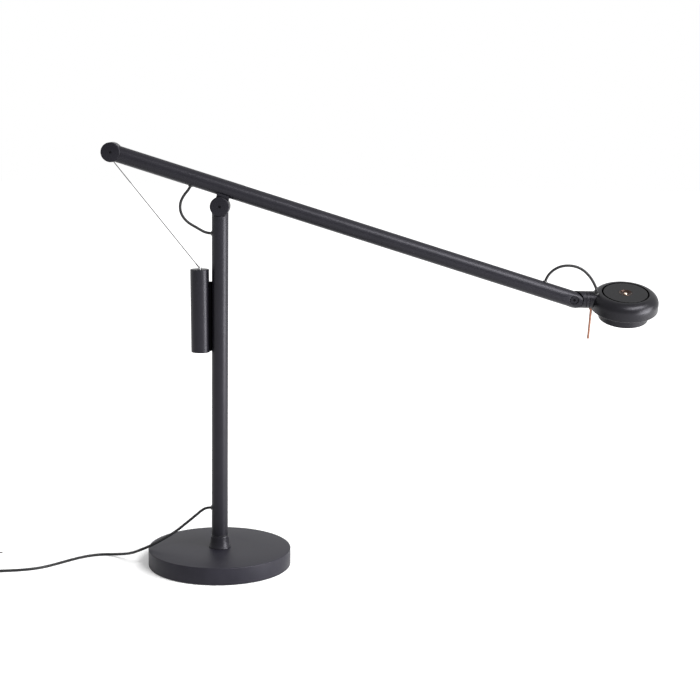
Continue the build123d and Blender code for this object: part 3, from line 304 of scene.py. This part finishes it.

# Thin near-black lining inside the gap round the top plate: painted shade for the dark groove
grooveShade = {"wall": 29.26, "inner": 27.24, "floor": 5.85, "top": 9.75, "thick": 0.12}
grooveShadeProfile = [(grooveShade["inner"], grooveShade["top"]), (grooveShade["inner"], grooveShade["floor"]),
                 (grooveShade["wall"], grooveShade["floor"]), (grooveShade["wall"], grooveShade["top"]),
                 (grooveShade["wall"] - grooveShade["thick"], grooveShade["top"]),
                 (grooveShade["wall"] - grooveShade["thick"], grooveShade["floor"] + grooveShade["thick"]),
                 (grooveShade["inner"] + grooveShade["thick"], grooveShade["floor"] + grooveShade["thick"]),
                 (grooveShade["inner"] + grooveShade["thick"], grooveShade["top"])]
finishMesh(turned(grooveShadeProfile, headFrame, True, 128), "plateGrooveShade", gapShadeBlack, "head")

# Lever: a thin rod, slimmer along its middle, with a rounded end
lever = {"across": -40.665, "profile": [(0, -10.0), (1.5, -10.0), (1.5, -21.0), (1.46, -23.0), (1.38, -26.0),
                                        (1.38, -48.0), (1.42, -50.0), (1.5, -51.2), (1.5, -53.7), (1.36, -54.1),
                                        (1.05, -54.4), (0.55, -54.5), (0, -54.5)]}
leverFrame = headFrame @ Matrix.Translation((lever["across"] * mm, 0, 0))
finishMesh(turned(lever["profile"], leverFrame, steps=48), "leverRod", copper, "head", ["lever"])

# Grommets: a rounded collar where each cord passes a wall
grommet = {"bore": 1.72, "rim": 3.1, "height": 2.4, "tubeSeat": 8.75, "stubSeat": 9.1}


def grommetRing(node, at, direction, depth):
    bore, rim, high = grommet["bore"], grommet["rim"], depth + grommet["height"]
    profile = [(bore, depth), (bore, high - 0.3), (bore + 0.12, high - 0.1), (bore + 0.4, high),
               (bore + 0.8, high - 0.05), (rim - 0.25, high - 0.3), (rim - 0.06, high - 0.6), (rim, high - 0.95),
               (rim, depth)]
    ring = turned(profile, axisFrame(at, direction), True, 48)
    finishMesh(ring, node + "Ring", glossyRubber, bodyOf[node], [node])


armUp = (math.sin(slope["arm"]), 0, math.cos(slope["arm"]))
stubUp = (0, -math.sin(slope["hole"]), math.cos(slope["hole"]))
grommetRing("cord_grommet", (0, 0, 73.5), (-1, 0, 0), grommet["tubeSeat"])
grommetRing("loop_grommet", (0, 0, 421.0), (-1, 0, 0), grommet["tubeSeat"])
grommetRing("tail_grommet", (-33.396, 0, 488.304), tuple(-v for v in armUp), grommet["tubeSeat"])
grommetRing("top_grommet", (398.353, 0, 357.950), armUp, grommet["tubeSeat"])
grommetRing("head_grommet", (464.6, 0, 346.3), stubUp, grommet["stubSeat"])

# Mains plug: rounded body in two halves, ribbed relief, sleeved pins
plug = {"x": -316.0, "z": 10.0, "rear": 28.0, "front": 55.0, "size": (26.0, 27.0, 20.0), "edge": 3.6, "seam": 0.16,
        "rearScale": (0.66, 1, 0.78), "seamScale": (0.97, 0.975, 1), "ribs": 6, "ribStep": 3.1, "ribRadius": 4.5,
        "taper": 0.34, "pins": 19.0}
bm = bmesh.new()
bmesh.ops.create_cube(bm, size=1.0)
bmesh.ops.scale(bm, vec=Vector(plug["size"]) * mm, verts=bm.verts)
rearVerts = [v for v in bm.verts if v.co.y < 0]
bmesh.ops.scale(bm, vec=plug["rearScale"], verts=rearVerts)
bmesh.ops.bevel(bm, geom=bm.edges[:], offset=plug["edge"] * mm, affect="EDGES", segments=5, profile=0.5,
                material=-1)
for height in (-plug["seam"], 0, plug["seam"]):
    bmesh.ops.bisect_plane(bm, geom=bm.verts[:] + bm.edges[:] + bm.faces[:], plane_co=(0, 0, height * mm),
                           plane_no=(0, 0, 1), dist=1e-7)
seamVerts = [v for v in bm.verts if abs(v.co.z) < 1e-6]
bmesh.ops.scale(bm, vec=plug["seamScale"], verts=seamVerts)
bmesh.ops.translate(bm, vec=Vector((plug["x"], (plug["rear"] + plug["front"]) / 2, plug["z"])) * mm, verts=bm.verts)
bmesh.ops.recalc_face_normals(bm, faces=bm.faces)
finishMesh(bm, "plugBody", moulded, bodyOf["plug"], ["plug"])

reliefProfile = [(0, -0.6), (plug["ribRadius"] + 0.4, -0.6)]
for k in range(plug["ribs"]):
    outer, start = plug["ribRadius"] - plug["taper"] * k, plug["ribStep"] * k
    reliefProfile += [(outer, start), (outer - 0.04, start + 1.6), (outer - 0.6, start + 1.85),
                      (outer - 0.65, start + 2.9)]
reliefProfile += [(2.35, 18.8), (2.25, 19.6), (1.95, 20.0), (0, 20.0)]
reliefFrame = axisFrame((plug["x"], plug["rear"], plug["z"]), (0, -1, 0))
finishMesh(turned(reliefProfile, reliefFrame, steps=40), "plugRelief", moulded, bodyOf["plug"])

pinProfile = [(0, -1.0), (2.2, -1.0), (2.2, 16.2), (2.05, 17.6), (1.6, 18.6), (0.9, 19.0), (0, 19.0)]
sleeveProfile = [(2.2, -0.5), (2.4, -0.5), (2.4, 9.7), (2.3, 10.0), (2.2, 10.0)]
for name, profile, material, closed in (("plugPin", pinProfile, steel, False),
                                        ("pinSleeve", sleeveProfile, moulded, True)):
    for side, word in ((-1, "Left"), (1, "Right")):
        pinFrame = axisFrame((plug["x"] + side * plug["pins"] / 2, plug["front"], plug["z"]), (0, 1, 0))
        stands = ["plug_pins"] if name == "plugPin" and side < 0 else []
        finishMesh(turned(profile, pinFrame, closed, 32), name + word, material, bodyOf["plug_pins"],
                   stands)

# Tie: a ratchet head on the band and the strap's cut end
tieHead = {"at": (-284.7, -31.3, 18.6), "turn": 15.07, "size": (7.4, 6.4, 3.8), "edge": 0.5, "slot": 1.6,
           "inset": 1.1, "strap": (13.0, 3.8, 1.1), "strapAt": (8.6, 0, 0.2), "strapEnd": (1, 0.6, 0.7)}
bm = bmesh.new()
bmesh.ops.create_cube(bm, size=1.0)
bmesh.ops.scale(bm, vec=Vector(tieHead["size"]) * mm, verts=bm.verts)
bmesh.ops.bevel(bm, geom=bm.edges[:], offset=tieHead["edge"] * mm, affect="EDGES", segments=3, profile=0.5,
                material=-1)
topFace = max(bm.faces, key=lambda f: f.calc_center_median().z + f.calc_area())
bmesh.ops.inset_region(bm, faces=[topFace], thickness=tieHead["inset"] * mm, use_even_offset=True)
slotFaces = bmesh.ops.extrude_discrete_faces(bm, faces=[topFace])["faces"]
bmesh.ops.translate(bm, vec=(0, 0, -tieHead["slot"] * mm), verts=list({v for f in slotFaces for v in f.verts}))
strap = bmesh.ops.create_cube(bm, size=1.0)["verts"]
bmesh.ops.scale(bm, vec=Vector(tieHead["strap"]) * mm, verts=strap)
bmesh.ops.scale(bm, vec=tieHead["strapEnd"], verts=[v for v in strap if v.co.x > 0])
bmesh.ops.translate(bm, vec=Vector(tieHead["strapAt"]) * mm, verts=strap)
tiePlace = Matrix.Translation(Vector(tieHead["at"]) * mm) @ Matrix.Rotation(math.radians(tieHead["turn"]), 4, "Z")
bmesh.ops.transform(bm, matrix=tiePlace, verts=bm.verts)
finishMesh(bm, "tieHead", moulded, bodyOf["cord_tie"])
print("turned and moulded details made")


# Cords
def nurbsCurve(name, points, radius, material, sides, along):
    curve = bpy.data.curves.new(name, "CURVE")
    curve.dimensions = "3D"
    spline = curve.splines.new("NURBS")
    spline.points.add(len(points) - 1)
    for point, place in zip(spline.points, points):
        point.co = (place[0] * mm, place[1] * mm, place[2] * mm, 1)
    spline.order_u = 3
    spline.use_endpoint_u = True
    spline.resolution_u = along
    curve.bevel_depth = radius
    curve.bevel_resolution = sides
    curve.use_fill_caps = True
    curve.materials.append(material)
    piece = bpy.data.objects.new(name, curve)
    bpy.context.scene.collection.objects.link(piece)
    return piece


cord = {"radius": 1.7, "exit": (-10.35, 0, 73.5), "length": 1.8}
powerRoute = [
    (-10.35, 0, 73.5), (-18.5, 0, 73.5), (-29.0, -1.5, 64.5), (-42.0, -4.5, 53.8), (-56.0, -8.5, 42.9),
    (-71.0, -12.5, 34.4), (-86.0, -15.5, 26.6), (-98.0, -13.0, 20.8), (-108.0, -5.0, 14.6),
    (-118.0, 6.0, 9.1), (-129.0, 16.0, 5.2), (-140.0, 23.0, 2.6), (-151.9, 25.5, 1.7), (-161.9, 22.5, 1.7),
    (-171.4, 17.0, 1.7), (-180.2, 10.0, 1.7), (-188.7, 1.0, 1.7), (-197.0, -8.6, 1.7), (-205.3, -18.4, 1.7),
    (-214.0, -27.7, 1.7), (-224.0, -36.2, 1.7), (-236.0, -42.0, 1.7), (-250.0, -46.4, 1.7),
    (-266.0, -50.4, 2.1), (-281.0, -54.48, 2.5),
]

# The coil's half turns spiral in and out, layer on layer
coil = {"join": (-295.2, -58.3), "heading": (-0.9656, -0.26), "radius": 23.3, "pitch": 4.9, "rise": 3.9,
        "floor": 2.5, "halfTurns": 6, "layers": 4, "pointsPerHalf": 8}
plugAt = {"x": -316.0, "rear": 17.0, "relief": 9.0, "height": 10.0, "inside": 6.0}


def coilPoints():
    heading = Vector((*coil["heading"], 0)).normalized()
    sideways = Vector((-heading.y, heading.x, 0))
    sideways = sideways if sideways.y < 0 else -sideways
    centre = Vector((*coil["join"], 0)) - sideways * coil["radius"]
    step = coil["pitch"] / 2
    inner = coil["radius"] - (coil["halfTurns"] - 1) * step
    inward = [coil["radius"] - k * step for k in range(coil["halfTurns"])]
    halves = []
    for layer in range(coil["layers"]):
        halves += [(r, 0) for r in (inward if layer % 2 == 0 else reversed(inward))]
        if layer < coil["layers"] - 1:
            halves.append((inner - step / 2 if layer % 2 == 0 else coil["radius"] + step / 2, coil["rise"]))
    count = coil["pointsPerHalf"]
    swell = 1 / math.cos(math.pi / count / 2) ** 0.8
    points, x, z, side = [], coil["radius"], coil["floor"], 1
    for number, (radius, climb) in enumerate(halves):
        middle = x - side * radius
        last = number == len(halves) - 1
        for k in range(count // 2 if last else count):
            turn = math.pi * (k + 0.5) / count
            across = middle + side * radius * math.cos(turn) * swell
            forward = -side * radius * math.sin(turn) * swell
            points.append(centre + sideways * across - heading * forward
                          + Vector((0, 0, z + climb * (1 - math.cos(turn)) / 2)))
        if last:
            end = centre + sideways * middle + heading * side * radius + Vector((0, 0, z))
            return points, end, sideways * -side
        x, z, side = middle - side * radius, z + climb, -side


turns, coilEnd, coilOut = coilPoints()
tailRoute = [
    coilEnd + coilOut * 9, Vector((plugAt["x"] - 7.2, -20.0, 11.4)), Vector((plugAt["x"] - 4.4, -9.5, 10.2)),
    Vector((plugAt["x"], 0.0, plugAt["height"])),
    Vector((plugAt["x"], plugAt["rear"] - plugAt["relief"], plugAt["height"])),
    Vector((plugAt["x"], plugAt["rear"] + plugAt["inside"], plugAt["height"])),
]
wholeRoute = powerRoute + [tuple(p) for p in turns] + [tuple(p) for p in tailRoute]
powerCord = nurbsCurve("powerFlex", wholeRoute, cord["radius"] * mm, sheath, 4, 5)
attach(powerCord, "post")
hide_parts("power_cord", "cord_coil", "cord_tail")
print("power cord laid")

# Cable loops, fixed at both ends, as mesh tubes laid across their joint
pivotHeight = 454.3
headHole = {"x": 464.604, "z": 346.303}


def onArm(along, up):
    return (along * math.cos(slope["arm"]) + up * math.sin(slope["arm"]), 0,
            pivotHeight - along * math.sin(slope["arm"]) + up * math.cos(slope["arm"]))


def overStub(up):
    return (headHole["x"], -up * math.sin(slope["hole"]), headHole["z"] + up * math.cos(slope["hole"]))


pivotLoop = [(-8.85, 0, 421.0), (-17.0, 0, 421.0), (-27.5, 0, 427.0), (-40.5, 0, 434.2), (-48.2, 0, 444.0),
             (-49.6, 0, 455.6), (-45.5, 0, 466.0), onArm(-41.8, 9.85), onArm(-41.8, 14.05)]
headLoop = [onArm(409.2, 31.75), onArm(409.2, 37.45), (408.03, -0.2, 380.2), (418.53, -0.4, 387.0),
            (432.03, -0.9, 388.6), (444.53, -2.0, 385.3), (454.03, -4.2, 377.5), (460.23, -7.0, 368.5),
            overStub(14.9), overStub(9.2)]


def tubeMesh(name, points, keep=None):
    curve = nurbsCurve(name + "Line", points, cord["radius"] * mm, sheath, 6, 10)
    mesh = bpy.data.meshes.new_from_object(curve.evaluated_get(bpy.context.evaluated_depsgraph_get()))
    bpy.data.objects.remove(curve)
    bm = bmesh.new()
    bm.from_mesh(mesh)
    bpy.data.meshes.remove(mesh)
    bmesh.ops.remove_doubles(bm, verts=bm.verts, dist=1e-6)
    if keep:
        place, normal = keep
        cut = bmesh.ops.bisect_plane(bm, geom=bm.verts[:] + bm.edges[:] + bm.faces[:], plane_co=place,
                                     plane_no=normal, clear_outer=True, dist=1e-7)
        rim = [e for e in cut["geom_cut"] if isinstance(e, bmesh.types.BMEdge)]
        bmesh.ops.contextual_create(bm, geom=rim)
        bmesh.ops.recalc_face_normals(bm, faces=bm.faces)
    return finishMesh(bm, name, sheath, None)


pivotCable = tubeMesh("pivotCable", pivotLoop)
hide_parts("pivot_cable")
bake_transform(pivotCable)
splitAt = Vector((432.0, -0.8, 388.0)) * mm
armSide = tubeMesh("headCableArmSide", headLoop, (splitAt, (1, 0, 0)))
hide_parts("head_cable")
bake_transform(armSide)
headSide = tubeMesh("headCableHeadSide", headLoop, (splitAt, (-1, 0, 0)))
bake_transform(headSide)
print("cable loops made")


# Studio: pale floor, soft lights and the photograph's camera
studio = {"floorGlow": (0.30, 1.0), "glowFrom": 0.16, "glowTo": 0.62, "floorColour": 0.80, "floorSize": 9.0,
          "ambient": 0.28, "aim": (0.1, 0, 0.25),
          "key": {"at": (2.37, -0.74, 0.52), "size": (1.3, 1.0), "watts": 60.0},
          "fill": {"at": (-0.6, -2.4, 1.5), "size": (2.2, 2.2), "watts": 2.5},
          "top": {"at": (1.48, -1.26, 2.12), "size": (1.9, 0.8), "watts": 104.0},
          "low": {"at": (1.25, -0.44, 0.17), "size": (0.6, 0.28), "watts": 8.0}}


def seenRays(tree):
    path = addNode(tree, "ShaderNodeLightPath")
    first = addNode(tree, "ShaderNodeMath", operation="ADD", use_clamp=True)
    second = addNode(tree, "ShaderNodeMath", operation="ADD", use_clamp=True)
    tree.links.new(path.outputs["Is Camera Ray"], first.inputs[0])
    tree.links.new(path.outputs["Is Glossy Ray"], first.inputs[1])
    tree.links.new(first.outputs[0], second.inputs[0])
    tree.links.new(path.outputs["Is Transmission Ray"], second.inputs[1])
    return second.outputs[0]


floorMaterial, floorTree, floorShader = startMaterial("paleFloor")
floorShader.inputs["Base Color"].default_value = (studio["floorColour"],) * 3 + (1,)
floorShader.inputs["Roughness"].default_value = 1.0
floorShader.inputs["Specular IOR Level"].default_value = 0.0
floorShader.inputs["Emission Color"].default_value = (1, 1, 1, 1)
# The floor is white from a step away on and keeps the lamp's shadow near it
place = objectCoordinates(floorTree)
away = addNode(floorTree, "ShaderNodeVectorMath", operation="LENGTH")
floorTree.links.new(place, away.inputs[0])
rise = addNode(floorTree, "ShaderNodeMapRange",
               {"From Min": studio["glowFrom"], "From Max": studio["glowTo"],
                "To Min": studio["floorGlow"][0], "To Max": studio["floorGlow"][1]}, interpolation_type="SMOOTHSTEP")
floorTree.links.new(away.outputs["Value"], rise.inputs["Value"])
glow = addNode(floorTree, "ShaderNodeMath", operation="MULTIPLY")
floorTree.links.new(rise.outputs["Result"], glow.inputs[1])
floorTree.links.new(seenRays(floorTree), glow.inputs[0])
floorTree.links.new(glow.outputs[0], floorShader.inputs["Emission Strength"])
bm = bmesh.new()
bmesh.ops.create_grid(bm, x_segments=1, y_segments=1, size=studio["floorSize"])
floorMesh = bpy.data.meshes.new("floor")
bm.to_mesh(floorMesh)
bm.free()
floorMesh.materials.append(floorMaterial)
floor = bpy.data.objects.new("floor", floorMesh)
bpy.context.scene.collection.objects.link(floor)

world = bpy.data.worlds.new("studioWorld")
bpy.context.scene.world = world
world.use_nodes = True
worldTree = world.node_tree
background = worldTree.nodes["Background"]
background.inputs["Color"].default_value = (1, 1, 1, 1)
worldTree.links.new(span(worldTree, seenRays(worldTree), studio["ambient"], 1.0), background.inputs["Strength"])


def areaLight(name, at, size, watts):
    light = bpy.data.lights.new(name, "AREA")
    light.shape = "RECTANGLE"
    light.size, light.size_y = size
    light.energy = watts
    lamp = bpy.data.objects.new(name, light)
    bpy.context.scene.collection.objects.link(lamp)
    lamp.location = at
    lamp.rotation_euler = (Vector(studio["aim"]) - Vector(at)).to_track_quat("-Z", "Y").to_euler()


for name in ("key", "fill", "top", "low"):
    areaLight(name + "Light", **studio[name])

view = {"at": (0.16178, -1.81191, 0.57730), "pitch": 0.1635, "roll": 0.0156, "focal": 1475.58, "pixels": 700,
        "sensor": 36.0}
ahead = Vector((0, math.cos(view["pitch"]), -math.sin(view["pitch"])))
levelRight = Vector((1, 0, 0))
levelUp = levelRight.cross(ahead)
right = levelRight * math.cos(view["roll"]) + levelUp * math.sin(view["roll"])
up = levelUp * math.cos(view["roll"]) - levelRight * math.sin(view["roll"])
cameraData = bpy.data.cameras.new("camera")
cameraData.sensor_width = view["sensor"]
cameraData.lens = view["focal"] * view["sensor"] / view["pixels"]
cameraData.clip_start, cameraData.clip_end = 0.05, 50
camera = bpy.data.objects.new("camera", cameraData)
bpy.context.scene.collection.objects.link(camera)
camera.matrix_world = Matrix.Translation(view["at"]) @ Matrix((right, up, -ahead)).transposed().to_4x4()
bpy.context.scene.camera = camera
bpy.context.scene.view_settings.view_transform = "Standard"
print("studio ready")
